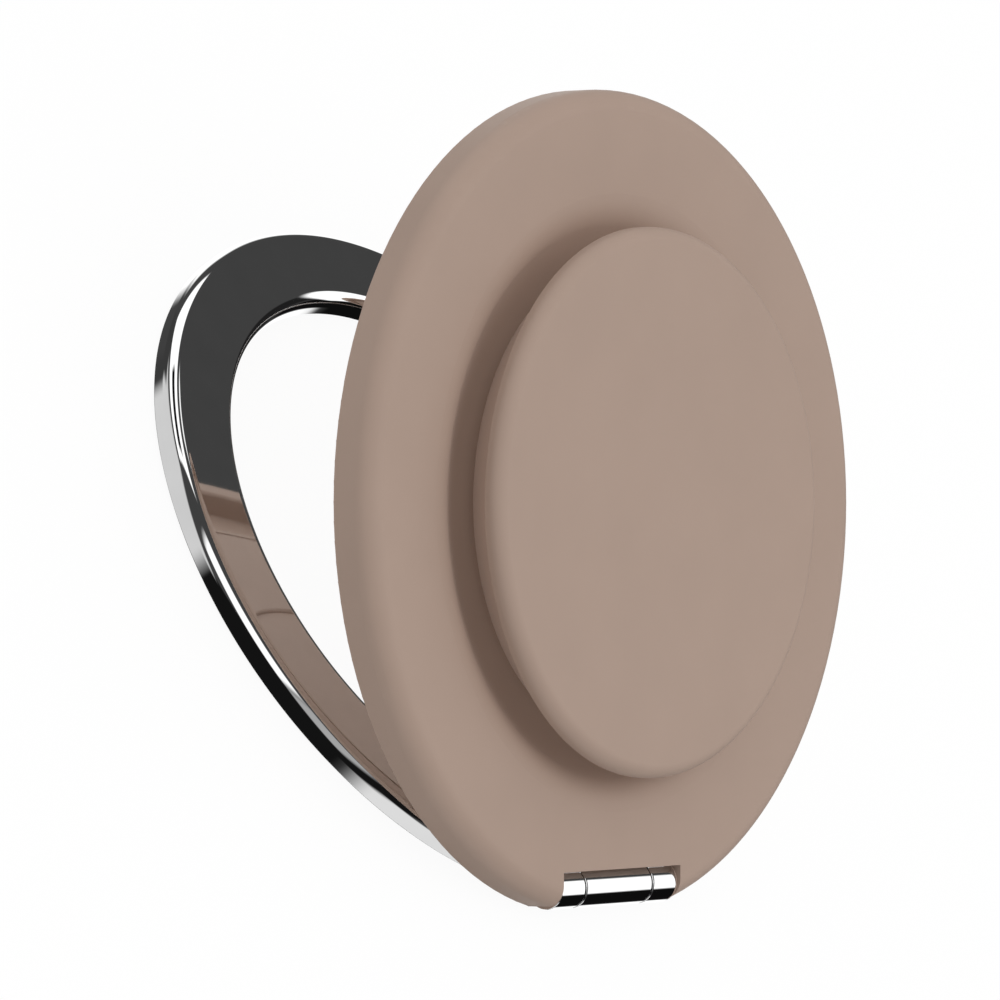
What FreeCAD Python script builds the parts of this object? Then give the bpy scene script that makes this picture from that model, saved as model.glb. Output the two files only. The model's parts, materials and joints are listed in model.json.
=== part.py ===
import FreeCAD, Part
import math
import os

from FreeCAD import Vector

# Phone grip stand, in millimetres: a round plate with a pull-out grip, hinged to a ring of magnets.
# The ring lies phone side down on the XY plane, with its centre at the origin.
# The hinge runs along X at the -Y side, and the plate stands open over the ring.
# The plate and the grip are drawn closed, flat over the ring, and then turned open about the hinge.

# Ring: a plated frame with a channel of magnets behind a soft pad
ring_od = 55.8
ring_band = 6.3
ring_t = 2.0
ring_round = 1.05
ring_foot_round = 0.25
ring_wall = 0.8
ring_roof = 0.6
shield_t = 0.3
magnet_count = 15
magnet_gap = 0.3
pad_t = 0.6
pad_proud = 0.3
pad_round = 0.12

# Plate: a shell with a groove for the ring behind it and a recess for the grip in front
lip_t = 1.75
plate_t = 3.4
flange_t = 1.45
rim_round = 1.5
back_round = 0.25
recess_wall = 0.9
recess_depth = 1.7
recess_slope = 50.0
recess_floor_round = 0.6
ledge_w = 1.1
ledge_t = 0.5
cover_rim = 0.7
dish_d = 17.0
dish_depth = 0.3

# Grip: a cap on a core, carried by a folding sleeve
cap_d = 39.9
cap_t = 2.4
cap_lift = 1.3
cap_round = 1.0
cap_foot_round = 0.25
cap_wall = 3.3
core_t = 0.9
cap_cavity = 1.2
hub_d = 19.0
hub_wall = 1.2
bead_t = 0.4
collar_t = 0.45
fold_count = 5
fold_t = 0.35

# Hinge: one long knuckle on the ring between two short ones on a leaf in the plate
hinge_r = 1.5
hinge_drop = 1.74
hinge_inset = 0.07
barrel_len = 14.2
knuckle_len = 8.1
knuckle_round = 0.12
notch_edge = 1.23
leaf_t = 0.7
peg_d = 1.2
peg_pitch = 7.0
pin_d = 1.2
pin_short = 0.2
sleeve_t = 0.33
sleeve_short = 0.3
sleeve_slit = 0.3
open_deg = 30.0

# Clearances: moving pieces first, then pieces that seat on each other
ring_side_gap = 0.35
ring_bore_gap = 0.2
ring_face_gap = 0.1
swing_gap = 0.6
heel_gap = 0.12
knuckle_gap = 0.15
notch_gap = 0.14
hub_gap = 0.6
fold_gap = 0.4
run_gap = 0.02
seat_gap = 0.02

# Radii from the centre outwards
ring_r = ring_od / 2
ring_ir = ring_r - ring_band
boss_r = ring_ir - ring_bore_gap
recess_r = boss_r - recess_wall
# The recess slopes from its corner down to its floor, with a lip that rolls straight into the floor's round
slope = math.radians(recess_slope)
lip_round = recess_depth / math.sin(slope) / math.tan(slope / 2) - recess_floor_round
lip_r = recess_r + lip_round * math.tan(slope / 2)
floor_r = recess_r - recess_depth / math.tan(slope)
pocket_r = boss_r - cover_rim
ledge_r = floor_r - ledge_w
groove_r = ring_r + ring_side_gap
plate_r = groove_r + lip_t
channel_ir = ring_ir + ring_wall
channel_r = ring_r - ring_wall
cap_r = cap_d / 2
core_r = cap_r - cap_wall
hub_r = hub_d / 2
fold_r = ledge_r - fold_gap
fold_ir = hub_r + hub_gap

# Heights with the plate closed, from the phone upwards
frame_z = pad_proud
ring_z = frame_z + ring_t
roof_z = ring_z - ring_roof
groove_z = ring_z + ring_face_gap
front_z = groove_z + flange_t
back_z = front_z - plate_t
ledge_z = front_z - recess_depth
seat_z = ledge_z - ledge_t
cover_z = seat_z - bead_t
cap_z = front_z + cap_lift
top_z = cap_z + cap_t
cavity_z = cap_z + cap_cavity
core_z = cavity_z - core_t
collar_z = core_z - collar_t

# Hinge line, and what has to clear it as the plate swings
hinge_y = hinge_inset - ring_r
hinge_z = front_z - hinge_drop
hinge = Vector(0, hinge_y, hinge_z)
heel_r = hinge_z - heel_gap
flat_y = hinge_y + heel_r + swing_gap
swing_r = groove_r + swing_gap
swing_half = math.sqrt(swing_r ** 2 - (flat_y + 2 * hinge_r) ** 2)
notch_half = barrel_len / 2 + notch_gap
notch_y = hinge_y + notch_edge
leaf_half = barrel_len / 2
leaf_y = -(lip_r + ring_roof)
leaf_root = hinge_y + hinge_r + knuckle_gap
leaf_z = groove_z + leaf_t
channel_end = math.degrees(math.acos((-flat_y - ring_wall) / channel_r))
channel_sweep = 360 - 2 * channel_end
pin_r = pin_d / 2
sleeve_ir = pin_r + run_gap
sleeve_r = sleeve_ir + sleeve_t
outside = 2 * plate_r

origin = Vector(0, 0, 0)
along_x = Vector(1, 0, 0)
along_z = Vector(0, 0, 1)


def section(corners):
    """Face in the XZ plane from corners (x, z) or (x, z, round), each round a tangent arc."""
    points = [Vector(c[0], 0, c[1]) for c in corners]
    rounds = [c[2] if len(c) > 2 else 0 for c in corners]
    count = len(points)
    spans = []
    for i, corner in enumerate(points):
        if not rounds[i]:
            spans.append((corner, None, corner))
            continue
        back = (points[i - 1] - corner).normalize()
        ahead = (points[(i + 1) % count] - corner).normalize()
        half = back.getAngle(ahead) / 2
        reach = rounds[i] / math.tan(half)
        inward = (back + ahead).normalize()
        middle = corner + inward * (rounds[i] / math.sin(half) - rounds[i])
        spans.append((corner + back * reach, middle, corner + ahead * reach))
    edges = []
    for i, (start, middle, end) in enumerate(spans):
        if middle:
            edges.append(Part.Arc(start, middle, end).toShape())
        following = spans[(i + 1) % count][0]
        if (following - end).Length > 1e-7:
            edges.append(Part.makeLine(end, following))
    return Part.Face(Part.Wire(edges))


def turned(corners):
    """Solid turned about the centre line, from corners (radius, height[, round])."""
    return section(corners).revolve(origin, along_z, 360)


def turned_arc(corners, start, sweep):
    """As turned, over part of a turn, with start counted from the hinge in degrees."""
    face = section(corners)
    face.rotate(origin, along_z, start - 90)
    return face.revolve(origin, along_z, sweep)


def turned_on_hinge(corners):
    """Solid turned about the hinge line, from corners (x, radius[, round])."""
    solid = section(corners).revolve(origin, along_x, 360)
    solid.translate(hinge)
    return solid


def block(x, y, z):
    """Box from three pairs of limits."""
    return Part.makeBox(x[1] - x[0], y[1] - y[0], z[1] - z[0], Vector(x[0], y[0], z[0]))


def rod(radius, x):
    """Cylinder on the hinge line between two limits along it."""
    return Part.makeCylinder(radius, x[1] - x[0], hinge + Vector(x[0], 0, 0), along_x)


def band(inner, outer, low, high, edge=0):
    """Corners of a plain ring's section, with its low edges rounded."""
    return [(inner, low, edge), (outer, low, edge), (outer, high), (inner, high)]


def opened(shape):
    """Turn a piece of the plate or the grip from closed to its open place."""
    shape.rotate(hinge, along_x, open_deg)
    return shape


def knuckle(start, end, bore):
    """Hinge knuckle with eased ends, between two places along the hinge line."""
    return turned_on_hinge(
        [
            (start, bore),
            (end, bore),
            (end, hinge_r, knuckle_round),
            (start, hinge_r, knuckle_round),
        ]
    )


def ring_frame():
    ring = turned(
        [
            (ring_ir, frame_z, ring_foot_round),
            (ring_r, frame_z, ring_foot_round),
            (ring_r, ring_z, ring_round),
            (ring_ir, ring_z, ring_round),
        ]
    )
    channel = turned_arc(
        band(channel_ir, channel_r, frame_z - ring_t, roof_z), channel_end, channel_sweep
    )
    # The band is flat beside the hinge, so that the plate's heel can swing past it
    flat = block((-outside, outside), (-outside, flat_y), (-ring_t, 2 * front_z))
    half = knuckle_len / 2
    arm = block((-half, half), (hinge_y, flat_y + ring_wall), (frame_z, ring_z))
    bore = sleeve_r + seat_gap
    eye = rod(bore, (-outside, outside))
    return ring.cut(channel).cut(flat).fuse(arm).cut(eye).fuse(knuckle(-half, half, bore))


def shield_ring():
    low = roof_z - shield_t
    corners = band(channel_ir + seat_gap, channel_r - seat_gap, low, roof_z - seat_gap)
    return turned_arc(corners, channel_end + magnet_gap, channel_sweep - 2 * magnet_gap)


def ring_magnets():
    low = frame_z - pad_proud + pad_t + seat_gap
    high = roof_z - shield_t - seat_gap
    corners = band(channel_ir + seat_gap, channel_r - seat_gap, low, high)
    pitch = channel_sweep / magnet_count
    gap = math.degrees(magnet_gap / channel_ir)
    arcs = []
    for i in range(magnet_count):
        arcs.append(turned_arc(corners, channel_end + i * pitch + gap / 2, pitch - gap))
    return Part.makeCompound(arcs)


def phone_pad():
    low = frame_z - pad_proud
    corners = band(channel_ir + seat_gap, channel_r - seat_gap, low, low + pad_t, pad_round)
    return turned_arc(corners, channel_end + magnet_gap, channel_sweep - 2 * magnet_gap)


def friction_sleeve():
    half = knuckle_len / 2 - sleeve_short
    sleeve = turned_on_hinge(
        [(-half, sleeve_ir), (half, sleeve_ir), (half, sleeve_r), (-half, sleeve_r)]
    )
    slit = block(
        (-outside, outside),
        (hinge_y, hinge_y + hinge_r),
        (hinge_z - sleeve_slit / 2, hinge_z + sleeve_slit / 2),
    )
    return sleeve.cut(slit)


def leaf_outline(gap):
    """The leaf's flat plate, grown by a gap on its sides and front."""
    half = leaf_half + gap
    plate = block((-half, half), (hinge_y, leaf_y + gap), (groove_z, leaf_z + gap))
    centre = knuckle_len / 2 + knuckle_gap - gap
    opening = block((-centre, centre), (-outside, leaf_root - gap), (-outside, outside))
    return plate.cut(opening)


def peg_places():
    middle = (leaf_root + leaf_y) / 2
    return [Vector(side * peg_pitch / 2, middle, groove_z) for side in (-1, 1)]


def hinge_leaf():
    leaf = leaf_outline(0)
    for place in peg_places():
        leaf = leaf.cut(Part.makeCylinder(peg_d / 2, leaf_t, place))
    bore = pin_r + seat_gap
    leaf = leaf.cut(rod(bore, (-outside, outside)))
    inner = knuckle_len / 2 + knuckle_gap
    leaf = leaf.fuse(knuckle(-leaf_half, -inner, bore))
    return opened(leaf.fuse(knuckle(inner, leaf_half, bore)).removeSplitter())


def hinge_pin():
    half = barrel_len / 2 - pin_short
    corners = [(-half, 0), (half, 0), (half, pin_r, knuckle_round), (-half, pin_r, knuckle_round)]
    return opened(turned_on_hinge(corners))


def plate_shell():
    shell = turned(
        [
            (ledge_r, ledge_z),
            (floor_r, ledge_z, recess_floor_round),
            (recess_r, front_z, lip_round),
            (plate_r, front_z, rim_round),
            (plate_r, back_z, back_round),
            (groove_r, back_z, back_round),
            (groove_r, groove_z, back_round),
            (boss_r, groove_z, back_round),
            (boss_r, back_z, back_round),
            (pocket_r, back_z),
            (pocket_r, seat_z),
            (ledge_r, seat_z),
        ]
    )
    # Notch for the hinge, with the front skin reaching a little over the barrel
    notch = (-notch_half, notch_half)
    shell = shell.cut(block(notch, (-outside, notch_y), (-outside, outside)))
    shell = shell.cut(rod(hinge_r + knuckle_gap, notch))
    shell = shell.cut(leaf_outline(seat_gap))
    for place in peg_places():
        shell = shell.fuse(Part.makeCylinder(peg_d / 2 - seat_gap, leaf_t + seat_gap, place))
    # Wider groove beside the hinge, and a heel rounded about the hinge line
    relief = Part.makeCylinder(swing_r, groove_z - back_z + ring_t, Vector(0, 0, back_z - ring_t))
    swing = (-swing_half, swing_half)
    relief = relief.cut(Part.makeCylinder(groove_r, outside, Vector(0, 0, back_z - ring_t)))
    shell = shell.cut(relief.common(block(swing, (-outside, 0), (-outside, outside))))
    heel = block(swing, (-outside, hinge_y), (-outside, hinge_z))
    shell = shell.cut(heel.cut(rod(heel_r, (-outside, outside))))
    return opened(shell)


def back_cover():
    rim = pocket_r - seat_gap
    cover = turned(
        [
            (0, back_z + dish_depth),
            (dish_d / 2, back_z + dish_depth),
            (dish_d / 2, back_z, back_round),
            (rim, back_z, back_round),
            (rim, cover_z),
            (0, cover_z),
        ]
    )
    return opened(cover)


def accordion():
    """Folding sleeve: cones that lie almost flat when pushed in, between a bead and a collar."""
    low = seat_z - seat_gap
    rise = (collar_z - low) / fold_count
    half = fold_t / 2
    reach = half * (fold_r - fold_ir) / rise
    valley_out = fold_ir + reach
    valley_in = fold_r - reach
    bead_r = pocket_r - seat_gap
    outer = [(bead_r, cover_z + seat_gap), (bead_r, low), (fold_r, low), (fold_r, low + half)]
    inner = [(valley_in, low)]
    for k in range(1, fold_count):
        level = low + k * rise
        if k % 2:
            outer.append((valley_out, level))
            inner += [(fold_ir, level - half), (fold_ir, level + half)]
        else:
            outer += [(fold_r, level - half), (fold_r, level + half)]
            inner.append((valley_in, level))
    collar_ir = hub_r + seat_gap
    outer += [(valley_out, collar_z), (valley_out, core_z - seat_gap)]
    inner += [(fold_ir, collar_z - half), (collar_ir, collar_z), (collar_ir, core_z - seat_gap)]
    return opened(turned(outer + inner[::-1] + [(valley_in, cover_z + seat_gap)]))


def top_cap():
    cap = turned(
        [
            (0, top_z),
            (cap_r, top_z, cap_round),
            (cap_r, cap_z, cap_foot_round),
            (core_r, cap_z),
            (core_r, cavity_z),
            (0, cavity_z),
        ]
    )
    return opened(cap)


def cap_core():
    hub_z = cover_z + hub_gap / 2
    hub_ir = hub_r - hub_wall
    core = turned(
        [
            (0, cavity_z - seat_gap),
            (core_r - seat_gap, cavity_z - seat_gap),
            (core_r - seat_gap, core_z),
            (hub_r, core_z),
            (hub_r, hub_z),
            (hub_ir, hub_z),
            (hub_ir, core_z),
            (0, core_z),
        ]
    )
    return opened(core)


pieces = (
    ring_frame,
    shield_ring,
    ring_magnets,
    phone_pad,
    friction_sleeve,
    hinge_leaf,
    hinge_pin,
    plate_shell,
    back_cover,
    accordion,
    top_cap,
    cap_core,
)

os.makedirs("parts", exist_ok=True)
for piece in pieces:
    shape = piece()
    solids = shape.Solids
    print(piece.__name__, len(solids), "solids", round(shape.Volume, 1), "mm3", shape.isValid())
    shape.exportStep(f"parts/{piece.__name__}.step")
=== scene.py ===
import json
import math

import bpy
from mathutils import Matrix, Vector


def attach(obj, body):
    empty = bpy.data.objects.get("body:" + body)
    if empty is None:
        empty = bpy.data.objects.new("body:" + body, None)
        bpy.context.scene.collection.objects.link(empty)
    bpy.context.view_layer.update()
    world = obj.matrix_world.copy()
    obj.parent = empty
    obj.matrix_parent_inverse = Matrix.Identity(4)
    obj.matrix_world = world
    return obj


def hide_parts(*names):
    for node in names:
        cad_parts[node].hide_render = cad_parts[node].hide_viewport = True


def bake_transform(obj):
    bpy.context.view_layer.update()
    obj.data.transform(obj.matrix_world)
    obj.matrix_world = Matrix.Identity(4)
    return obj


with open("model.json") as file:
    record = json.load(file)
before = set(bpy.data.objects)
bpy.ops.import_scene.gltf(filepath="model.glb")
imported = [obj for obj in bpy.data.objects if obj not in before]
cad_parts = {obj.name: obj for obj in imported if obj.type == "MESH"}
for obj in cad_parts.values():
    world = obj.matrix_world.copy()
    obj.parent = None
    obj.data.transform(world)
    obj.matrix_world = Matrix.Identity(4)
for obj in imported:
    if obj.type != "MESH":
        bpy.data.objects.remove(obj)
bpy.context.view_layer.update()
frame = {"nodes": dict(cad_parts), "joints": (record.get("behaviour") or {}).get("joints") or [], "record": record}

MM = 0.001
TINY = 1e-9

# The plate's own axes: along the hinge, up the plate, and out of its front
hinge_joint = next(j for j in frame["joints"] if j["name"] == "plate_hinge")
grip_joint = next(j for j in frame["joints"] if j["name"] == "grip_pull")
hinge = Vector(hinge_joint["pos_m"])
across = Vector(hinge_joint["axis"])
out = Vector(grip_joint["axis"]).normalized()
up = out.cross(across)
HINGE_DROP = 1.74 * MM
plate_front = hinge - up * hinge.y + out * HINGE_DROP

# Camera: level with the plate, turned to its left
VIEW_TURN = math.radians(53.352)
VIEW_DISTANCE = 537.35 * MM
VIEW_SIDE = -14.943 * MM
VIEW_RISE = 0.177 * MM
VIEW_LENS = 272.35
SENSOR = 36.0
CLIP_START = 0.01

# Colours, in linear values
TAUPE = (0.397, 0.291, 0.235)
TAUPE_RUBBER = (0.36, 0.27, 0.22)
PAD_BROWN = (0.22, 0.17, 0.14)
CHROME = (0.80, 0.80, 0.80)
STEEL = (0.48, 0.48, 0.48)
NICKEL = (0.5, 0.49, 0.46)

# Light: the dome's level and how it rises up the plate and to its right, and the suns
DOME_LEVEL = 0.62
DOME_UP = 0.30
DOME_ACROSS = 0.08
KEY_LEVEL = 0.20
KEY_RISE = 0.2
FRONT_FILL = 0.15
BACK_FILL = 0.28
SUN_SPREAD = math.radians(40)

# Floor: its size, and its colour for the camera and for the light that it throws back
FLOOR_HALF = 4.0
FLOOR_DROP = 0.02 * MM
FLOOR_WHITE = 0.92
FLOOR_BOUNCE = 0.75
FLOOR_GLOW = 0.94

# What bright metal mirrors: a dark studio and its cards, later ones in front
STUDIO_LEVEL = 0.06
# Each card: azimuth, elevation, half width, half height and roll in degrees, soft edge, level
CARDS = {
    "left_flag": (-108, -30, 58, 33, 0, 0.06, 0.008),
    "low_right_flag": (105, -36, 30, 22, 0, 0.06, 0.005),
    "right_flag": (97, 0, 22, 12, 0, 0.06, 0.015),
    "floor_card": (0, -90, 25, 25, 0, 0.12, 0.88),
    "behind_right_card": (51, 8, 13, 38, -9, 0.10, 1.3),
    "grey_wall": (-38, 30, 30, 30, 0, 0.08, 0.75),
    "wall_flag": (2, 43, 10, 17, -30, 0.04, 0.05),
    "left_card": (-138, -15, 21, 13, 29, 0.08, 0.45),
    "left_softbox": (-118.5, 16.5, 21, 22.5, 29, 0.06, 1.3),
    "top_softbox": (-129, 90, 20.5, 27.5, 0, 0.03, 1.4),
    "top_slot": (-129, 78.5, 7, 11.5, 0, 0.03, 0.005),
    "top_strip": (137.4, 55.6, 6, 2.6, -3, 0.02, 1.3),
    "right_softbox": (133, -0.5, 13.5, 23.5, 0, 0.035, 1.4),
}


def new_material(name):
    """A node material, with its node tree and its Principled shader."""
    material = bpy.data.materials.new(name)
    material.use_nodes = True
    tree = material.node_tree
    return material, tree, tree.nodes["Principled BSDF"]


def add_node(tree, kind, **inputs):
    """A node with some inputs set by name, written with _ for a space."""
    node = tree.nodes.new(kind)
    for name, value in inputs.items():
        node.inputs[name.replace("_", " ")].default_value = value
    return node


def place_noise(tree, size, detail=2.0):
    """Noise in the object's own space, with grains of about the given size."""
    place = tree.nodes.new("ShaderNodeTexCoord")
    noise = add_node(tree, "ShaderNodeTexNoise", Scale=1.0 / size, Detail=detail)
    tree.links.new(place.outputs["Object"], noise.inputs["Vector"])
    return noise


def ranged(tree, source, low, high):
    node = add_node(tree, "ShaderNodeMapRange", To_Min=low, To_Max=high)
    tree.links.new(source, node.inputs["Value"])
    return node.outputs["Result"]


def tinted(tree, source, colour, tint):
    """The colour, a little darker and a little lighter with the source."""
    ramp = tree.nodes.new("ShaderNodeValToRGB")
    places = (0.3, 0.7)
    factors = (1 - tint, 1 + tint)
    for element, place, factor in zip(ramp.color_ramp.elements, places, factors):
        element.position = place
        element.color = (*(c * factor for c in colour), 1.0)
    tree.links.new(source, ramp.inputs["Fac"])
    return ramp.outputs["Color"]


def soft_touch(name, colour, grain, rough):
    """Soft-touch coated plastic: an even colour with a very fine matte grain."""
    cloud_size = 6 * MM
    tint = 0.015
    rough_swing = 0.05
    material, tree, shader = new_material(name)
    cloud = place_noise(tree, cloud_size)
    tree.links.new(tinted(tree, cloud.outputs["Fac"], colour, tint), shader.inputs["Base Color"])
    fine = place_noise(tree, grain, detail=3.0)
    roughness = ranged(tree, fine.outputs["Fac"], rough - rough_swing, rough + rough_swing)
    tree.links.new(roughness, shader.inputs["Roughness"])
    bump = add_node(tree, "ShaderNodeBump", Strength=0.08, Distance=0.01 * MM)
    tree.links.new(fine.outputs["Fac"], bump.inputs["Height"])
    tree.links.new(bump.outputs["Normal"], shader.inputs["Normal"])
    shader.inputs["Specular IOR Level"].default_value = 0.3
    shader.inputs["Sheen Weight"].default_value = 0.06
    shader.inputs["Sheen Roughness"].default_value = 0.4
    return material


def metal(name, colour, grain, rough_low, rough_high):
    """Bare or plated metal, clouded very slightly in its colour and gloss."""
    tint = 0.02
    material, tree, shader = new_material(name)
    shader.inputs["Metallic"].default_value = 1.0
    cloud = place_noise(tree, grain)
    tree.links.new(tinted(tree, cloud.outputs["Fac"], colour, tint), shader.inputs["Base Color"])
    roughness = ranged(tree, cloud.outputs["Fac"], rough_low, rough_high)
    tree.links.new(roughness, shader.inputs["Roughness"])
    return material


materials = {
    "ring_plating": metal("ring_plating", CHROME, 3 * MM, 0.015, 0.035),
    "steel": metal("steel", STEEL, 0.5 * MM, 0.2, 0.35),
    "magnet_nickel": metal("magnet_nickel", NICKEL, 0.8 * MM, 0.15, 0.3),
    "pad_rubber": soft_touch("pad_rubber", PAD_BROWN, 0.15 * MM, 0.7),
    "taupe_soft_touch": soft_touch("taupe_soft_touch", TAUPE, 0.12 * MM, 0.55),
    "taupe_rubber": soft_touch("taupe_rubber", TAUPE_RUBBER, 0.15 * MM, 0.65),
}

for part in frame["record"]["subparts"]:
    node = frame["nodes"][part["node"]]
    node.data.materials.clear()
    node.data.materials.append(materials[part["material_slot"]])


def scaled(corners):
    """Corners in metres, from corners in millimetres."""
    return [tuple(size * MM for size in corner) for corner in corners]


def rounded(corners, steps=16):
    """Closed outline with normals, clockwise, from corners (distance, height, round).

    A hollow corner's round is negative.
    """
    outline = []
    for k, (x, y, size) in enumerate(corners):
        before = corners[k - 1]
        after = corners[(k + 1) % len(corners)]
        arrive = Vector((x - before[0], y - before[1])).normalized()
        leave = Vector((after[0] - x, after[1] - y)).normalized()
        turn = arrive.angle_signed(leave)
        corner = Vector((x, y))
        normal = Vector((-arrive.y, arrive.x))
        if not size:
            outline += [(corner, normal), (corner, Vector((-leave.y, leave.x)))]
            continue
        centre = corner - arrive * (size * math.tan(turn / 2)) - normal * size
        for step in range(steps + 1):
            slope = Matrix.Rotation(-turn * step / steps, 2) @ normal
            outline.append((centre + slope * size, slope))
    return outline


def swept(outline, steps, spot):
    """Faces between the outline's places all the way round, each corner with its normal."""
    faces = []
    for here, there in zip(outline, outline[1:] + outline[:1]):
        if (here[0] - there[0]).length < TINY:
            continue
        for step in range(steps):
            near = [spot(here, step), spot(there, step)]
            far = [spot(there, step + 1), spot(here, step + 1)]
            faces.append(near + far)
    return faces


def about(origin, axis, side, steps):
    """A function that places an outline's point about an axis, with step 0 at the given side."""
    other = axis.cross(side)

    def spot(point, step):
        angle = 2 * math.pi * step / steps
        spoke = side * math.cos(angle) + other * math.sin(angle)
        (radius, height), (lean, rise) = point
        return origin + spoke * radius + axis * height, spoke * lean + axis * rise

    return spot


def turned(outline, steps):
    """Faces of an outline turned about the plate's axis, with heights from the plate's front."""
    return swept(outline, steps, about(plate_front, out, across, steps))


def block(low, high):
    """Faces of a box between two corners."""
    faces = []
    for axis in range(3):
        for end in (low, high):
            normal = Vector((0, 0, 0))
            normal[axis] = 1 if end is high else -1
            ring = []
            for first, second in ((low, low), (high, low), (high, high), (low, high)):
                corner = Vector((0, 0, 0))
                corner[axis] = end[axis]
                corner[(axis + 1) % 3] = first[(axis + 1) % 3]
                corner[(axis + 2) % 3] = second[(axis + 2) % 3]
                ring.append((corner, normal))
            faces.append(ring if end is high else ring[::-1])
    return faces


def add_piece(name, faces, slot, body=None, replaces=()):
    """Mesh of faces whose corners bring their own normals, joined where they meet."""
    digits = 8
    places = {}
    polygons = []
    normals = []
    for face in faces:
        corners = []
        slopes = []
        for point, normal in face:
            place = places.setdefault(tuple(round(c, digits) for c in point), len(places))
            if place not in corners:
                corners.append(place)
                slopes.append(normal)
        if len(corners) > 2:
            polygons.append(corners)
            normals += slopes
    mesh = bpy.data.meshes.new(name)
    mesh.from_pydata(list(places), [], polygons)
    mesh.shade_smooth()
    mesh.normals_split_custom_set(normals)
    mesh.materials.append(materials[slot])
    piece = bpy.data.objects.new(name, mesh)
    bpy.context.collection.objects.link(piece)
    if body:
        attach(piece, body)
    if replaces:
        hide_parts(*replaces)
    return piece


def ring_band(low, high):
    """The ring's band, cut flat beside the hinge."""
    steps = 360
    flat = 25.24 * MM
    inner = 21.6 * MM
    outer = 27.9 * MM
    fillet = 1.05 * MM
    foot = 0.08 * MM
    corners = [(inner, low, foot), (inner, high, fillet), (flat, high, 0)]
    corners += [(outer, high, fillet), (outer, low, foot), (flat, low, 0)]
    outline = rounded(corners)

    def spot(point, step):
        (radius, height), (lean, rise) = point
        away = math.acos(flat / radius) if radius > flat else 0.0
        angle = away - math.pi / 2 + 2 * (math.pi - away) * step / steps
        spoke = Vector((math.cos(angle), math.sin(angle), 0))
        return spoke * radius + Vector((0, 0, height)), spoke * lean + Vector((0, 0, rise))

    front = Vector((0, -1, 0))
    beyond = [point for point in outline if point[0].x > flat - TINY]
    right = [(spot(point, 0)[0], front) for point in beyond]
    left = [(spot(point, steps)[0], front) for point in beyond]
    return swept(outline, steps, spot) + [left + right[::-1]]


def add_ring():
    """The plated ring with its arm and knuckle, finer than the solid's facets."""
    low = 0.3 * MM
    high = 2.3 * MM
    half = 4.05 * MM
    arm_end = -24.44 * MM
    bore = 0.97 * MM
    barrel = 1.5 * MM
    edge = 0.12 * MM
    steps = 96
    faces = ring_band(low, high)
    faces += block((-half, hinge.y, low), (half, arm_end, high))
    corners = [(bore, -half, 0), (bore, half, 0), (barrel, half, edge), (barrel, -half, edge)]
    side = Vector((0, 1, 0))
    faces += swept(rounded(corners, steps=6), steps, about(hinge, across, side, steps))
    add_piece("ring_body", faces, "ring_plating", "ring", ["ring_frame"])


def add_notch_trim():
    """The notch's lip over the leaf, above each end knuckle, and its cheeks beside the barrel's ends."""
    # The lip's corners from the hinge line: along it, up the plate and out of its front
    low = Vector((4.22, 1.14, 0.96)) * MM
    high = Vector((7.1, 1.4, 1.05)) * MM
    cheek_inner = 0.7
    cheek_outer = 1.47
    cheek_start = 7.115
    cheek_end = 7.225
    cheek_edge = 0.03
    steps = 72
    turn = Matrix((across, up, out)).transposed()
    faces = []
    for shift in (0, -(low.x + high.x)):
        aside = Vector((shift, 0, 0))
        for face in block(low + aside, high + aside):
            faces.append([(hinge + turn @ point, turn @ normal) for point, normal in face])
    corners = [(cheek_inner, cheek_start, 0), (cheek_inner, cheek_end, 0)]
    corners += [(cheek_outer, cheek_end, cheek_edge), (cheek_outer, cheek_start, cheek_edge)]
    for side in (across, -across):
        faces += swept(rounded(scaled(corners), steps=4), steps, about(hinge, side, up, steps))
    add_piece("notch_trim", faces, "taupe_soft_touch", "plate")


def add_ledge():
    """The recess's lip rolls on into a hollow, and its floor goes on under the cap, up to the sleeve."""
    lip_reach = 22.44
    lip_round = 4.16
    slope = math.radians(36)
    proud = 0.005
    floor = -1.68
    inner = 15.5
    inner_edge = 0.15
    low = -2.2
    rim_low = -2.15
    steps = 192
    rim = lip_reach - lip_round * math.sin(slope)
    brow = proud - lip_round * (1 - math.cos(slope))
    hollow = (brow - floor) / (1 - math.cos(slope))
    foot = rim - (brow - floor) / math.tan(slope)
    corners = [(inner, low, 0), (inner, floor, inner_edge), (foot, floor, -hollow)]
    corners += [(rim, brow, 0), (rim, rim_low, 0)]
    faces = turned(rounded(scaled(corners)), steps)
    add_piece("recess_ledge", faces, "taupe_soft_touch", "plate")


def even_levels(count, span, stroke):
    """Shares of a sleeve's height that come to lie evenly when the blend stretches it by the stroke."""

    def opened(t):
        return span * t + stroke * t * t * (3 - 2 * t)

    halvings = 40
    levels = []
    for k in range(count + 1):
        below, above = 0.0, 1.0
        for _ in range(halvings):
            middle = (below + above) / 2
            if opened(middle) < k / count * opened(1.0):
                below = middle
            else:
                above = middle
        levels.append(below)
    return levels


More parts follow.
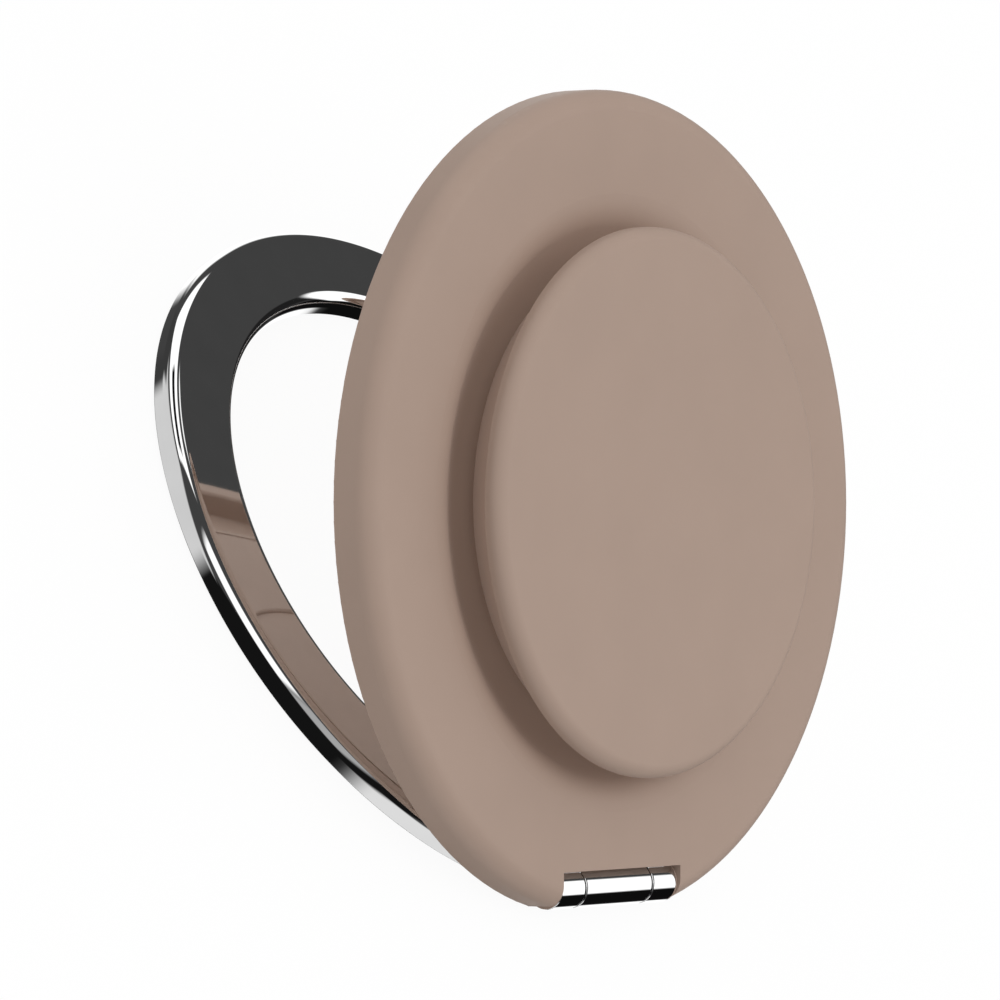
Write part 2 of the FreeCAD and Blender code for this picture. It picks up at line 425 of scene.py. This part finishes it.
def sleeve_corners(low, high, stroke):
    """Corners of the folded sleeve's wall, from its bead in the plate to its collar in the cap."""
    folds = 5
    crest = 15.1 * MM
    valley = 10.1 * MM
    tip = 0.1 * MM
    wall_open = 0.8 * MM
    wall_folded = 0.16 * MM
    softness = 0.4
    bead = 20.68 * MM
    bead_inner = 13.6 * MM
    bead_low = -2.58 * MM
    collar = 12.04 * MM
    collar_inner = 9.52 * MM
    collar_top = 1.58 * MM
    span = high - low
    levels = even_levels(folds, span, stroke)
    outer = [(bead, bead_low), (bead, low)]
    inner = [(bead_inner, bead_low)]
    for k, t in enumerate(levels):
        height = low + span * t
        # The wall is thinnest where the blend stretches it most
        stretch = 1 + stroke / span * 6 * t * (1 - t)
        half = min(wall_folded, wall_open / stretch) / 2
        near = [abs(levels[j] - t) * span for j in (k - 1, k + 1) if 0 <= j <= folds]
        reach = half * (crest - valley) * len(near) / sum(near)
        soft = softness * half
        if k == 0:
            outer += [(crest, low), (crest, low + soft), (crest - tip, low + half)]
            inner += [(crest - reach, low)]
        elif k == folds:
            outer += [(valley + reach, high), (collar, high), (collar, collar_top)]
            inner += [(valley + tip, high - half), (valley, high - soft)]
            inner += [(collar_inner, high), (collar_inner, collar_top)]
        elif k % 2:
            outer += [(valley + reach, height)]
            inner += [(valley + tip, height - half), (valley, height - soft)]
            inner += [(valley, height + soft), (valley + tip, height + half)]
        else:
            outer += [(crest - tip, height - half), (crest, height - soft)]
            outer += [(crest, height + soft), (crest - tip, height + half)]
            inner += [(crest - reach, height)]
    return outer + inner[::-1]


def add_accordion():
    """Folding sleeve under the cap, its folds spaced so that they would open evenly over the grip's pull stroke.
    """
    low = -2.22 * MM
    high = 1.15 * MM
    steps = 144
    corners = sleeve_corners(low, high, grip_joint["range_m"][1])
    outline = []
    for k, place in enumerate(corners):
        run = Vector(corners[(k + 1) % len(corners)]) - Vector(corners[k - 1])
        outline.append((Vector(place), Vector((run.y, -run.x)).normalized()))
    faces = turned(outline[::-1], steps)
    sleeve = add_piece("accordion_sleeve", faces, "taupe_rubber", None, ["accordion"])
    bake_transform(sleeve)


def add_cap():
    """The grip's cap, whose edge turns under into a cone that goes down into the recess."""
    side = 19.95
    top = 3.7
    top_round = 1.0
    under_edge = 2.36
    under_round = 0.06
    neck = 19.55
    foot = 17.2
    foot_round = 0.15
    low = -0.71
    inner = 15.6
    roof = 2.5
    steps = 256
    corners = [(inner, low, 0), (inner, roof, 0), (0, roof, 0), (0, top, 0)]
    corners += [(side, top, top_round), (side, under_edge, under_round)]
    corners += [(neck, under_edge, 0), (foot, low, foot_round)]
    faces = turned(rounded(scaled(corners)), steps)
    add_piece("cap_body", faces, "taupe_soft_touch", "grip", ["top_cap"])


add_ring()
add_notch_trim()
add_ledge()
add_accordion()
add_cap()


def add_camera():
    toward = out * math.cos(VIEW_TURN) - across * math.sin(VIEW_TURN)
    right = up.cross(toward)
    target = plate_front + across * VIEW_SIDE + up * VIEW_RISE
    data = bpy.data.cameras.new("camera")
    data.sensor_width = SENSOR
    data.lens = VIEW_LENS
    data.clip_start = CLIP_START
    camera = bpy.data.objects.new("camera", data)
    bpy.context.collection.objects.link(camera)
    turn = Matrix((right, up, toward)).transposed().to_4x4()
    camera.matrix_world = Matrix.Translation(target + toward * VIEW_DISTANCE) @ turn
    bpy.context.scene.camera = camera


def floor_material():
    """White for the camera, and greyer for the light that it throws back."""
    material, tree, shader = new_material("floor")
    path = tree.nodes.new("ShaderNodeLightPath")
    colour = ranged(tree, path.outputs["Is Camera Ray"], FLOOR_BOUNCE, FLOOR_WHITE)
    tree.links.new(colour, shader.inputs["Base Color"])
    shader.inputs["Roughness"].default_value = 0.9
    shader.inputs["Specular IOR Level"].default_value = 0.0
    glow = ranged(tree, path.outputs["Is Camera Ray"], 0.0, FLOOR_GLOW)
    white = add_node(tree, "ShaderNodeEmission", Strength=1.0)
    mix = tree.nodes.new("ShaderNodeMixShader")
    tree.links.new(glow, mix.inputs["Fac"])
    tree.links.new(shader.outputs[0], mix.inputs[1])
    tree.links.new(white.outputs[0], mix.inputs[2])
    tree.links.new(mix.outputs[0], tree.nodes["Material Output"].inputs["Surface"])
    return material


def add_floor():
    mesh = bpy.data.meshes.new("floor")
    corners = [(x * FLOOR_HALF, y * FLOOR_HALF, 0) for x, y in ((-1, -1), (1, -1), (1, 1), (-1, 1))]
    mesh.from_pydata(corners, [], [(0, 1, 2, 3)])
    mesh.materials.append(floor_material())
    floor = bpy.data.objects.new("floor", mesh)
    floor.location.z = -FLOOR_DROP
    bpy.context.collection.objects.link(floor)
    floor.visible_glossy = False


def sight(azimuth, elevation):
    """Direction from the plate: azimuth 0 straight behind it, 90 to its right, elevation up the plate."""
    azimuth = math.radians(azimuth)
    elevation = math.radians(elevation)
    level = across * math.sin(azimuth) - out * math.cos(azimuth)
    return level * math.cos(elevation) + up * math.sin(elevation)


def calc(tree, operation, *values):
    """A math node on numbers and sockets."""
    node = tree.nodes.new("ShaderNodeMath")
    node.operation = operation
    for socket, value in zip(node.inputs, values):
        if isinstance(value, float):
            socket.default_value = value
        else:
            tree.links.new(value, socket)
    return node.outputs[0]


def along(tree, view, axis):
    """How far the viewed direction goes along an axis."""
    node = tree.nodes.new("ShaderNodeVectorMath")
    node.operation = "DOT_PRODUCT"
    tree.links.new(view, node.inputs[0])
    node.inputs[1].default_value = axis
    return node.outputs["Value"]


def inside(tree, offset, facing, half, soft):
    """1 within half degrees of a card's middle and 0 outside, with a soft edge."""
    edge = math.tan(math.radians(half))
    node = add_node(tree, "ShaderNodeMapRange", From_Min=edge + soft, From_Max=max(edge - soft, 0.0))
    node.interpolation_type = "SMOOTHSTEP"
    ratio = calc(tree, "DIVIDE", calc(tree, "ABSOLUTE", offset), facing)
    tree.links.new(ratio, node.inputs["Value"])
    return node.outputs["Result"]


def studio_level(tree, view):
    """What bright metal mirrors in each direction: the studio with its cards laid over it in turn."""
    grazing = 0.001
    studio = STUDIO_LEVEL
    for azimuth, elevation, half_width, half_height, roll, soft, level in CARDS.values():
        centre = sight(azimuth, elevation)
        side = sight(azimuth + 90, 0)
        rise = side.cross(centre)
        if rise.dot(up) < 0:
            rise = -rise
        turn = Matrix.Rotation(math.radians(roll), 3, centre)
        facing = calc(tree, "MAXIMUM", along(tree, view, centre), grazing)
        wide = inside(tree, along(tree, view, turn @ side), facing, half_width, soft)
        tall = inside(tree, along(tree, view, turn @ rise), facing, half_height, soft)
        card = calc(tree, "MULTIPLY", wide, tall)
        behind = calc(tree, "MULTIPLY", studio, calc(tree, "SUBTRACT", 1.0, card))
        studio = calc(tree, "ADD", behind, calc(tree, "MULTIPLY", card, level))
    return studio


def background(tree, strength):
    node = add_node(tree, "ShaderNodeBackground", Color=(1, 1, 1, 1))
    if isinstance(strength, float):
        node.inputs["Strength"].default_value = strength
    else:
        tree.links.new(strength, node.inputs["Strength"])
    return node.outputs[0]


def either(tree, choice, yes, no):
    node = tree.nodes.new("ShaderNodeMixShader")
    tree.links.new(choice, node.inputs["Fac"])
    tree.links.new(no, node.inputs[1])
    tree.links.new(yes, node.inputs[2])
    return node.outputs[0]


def add_world():
    """A soft dome lights the scene, bright metal mirrors the studio, and the camera sees white."""
    world = bpy.data.worlds.new("studio")
    bpy.context.scene.world = world
    world.use_nodes = True
    tree = world.node_tree
    view = tree.nodes.new("ShaderNodeTexCoord").outputs["Generated"]
    path = tree.nodes.new("ShaderNodeLightPath")
    lean = along(tree, view, up * DOME_UP + across * DOME_ACROSS)
    dome = calc(tree, "MAXIMUM", calc(tree, "ADD", lean, DOME_LEVEL), 0.0)
    mirrored = background(tree, studio_level(tree, view))
    light = either(tree, path.outputs["Is Glossy Ray"], mirrored, background(tree, dome))
    light = either(tree, path.outputs["Is Camera Ray"], background(tree, 1.0), light)
    tree.links.new(light, tree.nodes["World Output"].inputs["Surface"])


def add_sun(name, direction, level, shadow):
    data = bpy.data.lights.new(name, "SUN")
    data.energy = level * math.pi
    data.angle = SUN_SPREAD
    data.use_shadow = shadow
    lamp = bpy.data.objects.new(name, data)
    bpy.context.collection.objects.link(lamp)
    lamp.rotation_mode = "QUATERNION"
    lamp.rotation_quaternion = direction.to_track_quat("Z", "Y")
    lamp.visible_glossy = False


add_camera()
add_floor()
add_world()
add_sun("key", out + up * KEY_RISE, KEY_LEVEL, True)
add_sun("front_fill", out, FRONT_FILL, False)
add_sun("back_fill", -out, BACK_FILL, False)

bpy.context.scene.view_settings.view_transform = "Standard"
